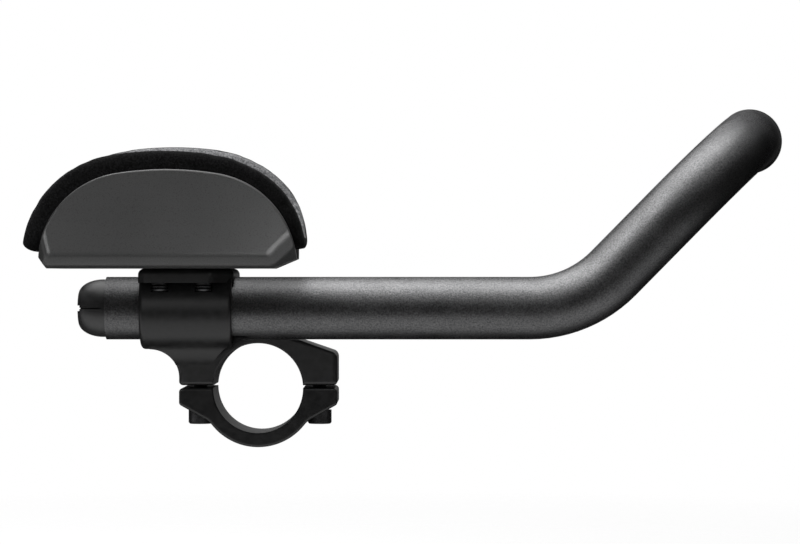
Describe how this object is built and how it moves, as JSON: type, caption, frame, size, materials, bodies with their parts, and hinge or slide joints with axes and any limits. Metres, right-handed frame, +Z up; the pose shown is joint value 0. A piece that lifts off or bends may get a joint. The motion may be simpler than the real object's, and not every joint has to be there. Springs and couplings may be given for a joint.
{
  "type": "aero handlebar extension",
  "caption": "Clip-on aero bar for a bicycle handlebar: a bent grip tube with inward-turned tip, a bracket that clamps bar and tube, and a padded forearm rest.",
  "frame": {"origin": "centre of the bar clamp's bore, at the middle of the clamp's width", "axes": "+X forward along the extension tube, +Y along the handlebar towards the middle of the bike, +Z up"},
  "size_m": [0.2728, 0.0959, 0.1222],
  "materials": {
    "tube": "bead blasted, black anodised",
    "bracket": "smooth satin black",
    "screw": "black oxide",
    "cup": "fine moulded satin, dark grey",
    "pad": "black closed-cell foam with a short looped pile",
    "pad_fabric": "mottled grey brushed knit, laminated to the foam",
    "plug": "soft black plastic",
    "hook_tape": "hook tape"
  },
  "bodies": {
    "root": {"extension_tube": "tube", "rear_plug": "plug", "tip_plug": "plug", "bracket_body": "bracket", "clamp_cap": "bracket", "clamp_bolt_front": "screw", "clamp_bolt_rear": "screw", "pinch_bolt_front": "screw", "pinch_bolt_rear": "screw", "armrest_bolt_near_front": "screw", "armrest_bolt_near_rear": "screw", "armrest_bolt_inboard_front": "screw", "armrest_bolt_inboard_rear": "screw", "armrest_washer_near_front": "screw", "armrest_washer_near_rear": "screw", "armrest_washer_inboard_front": "screw", "armrest_washer_inboard_rear": "screw", "armrest_cup": "cup", "armrest_pad": "pad", "armrest_pad_face": "pad_fabric", "hook_patch_outer": "hook_tape", "hook_patch_inner": "hook_tape", "hook_patch_floor_front": "hook_tape", "hook_patch_floor_rear": "hook_tape"}
  },
  "joints": []
}
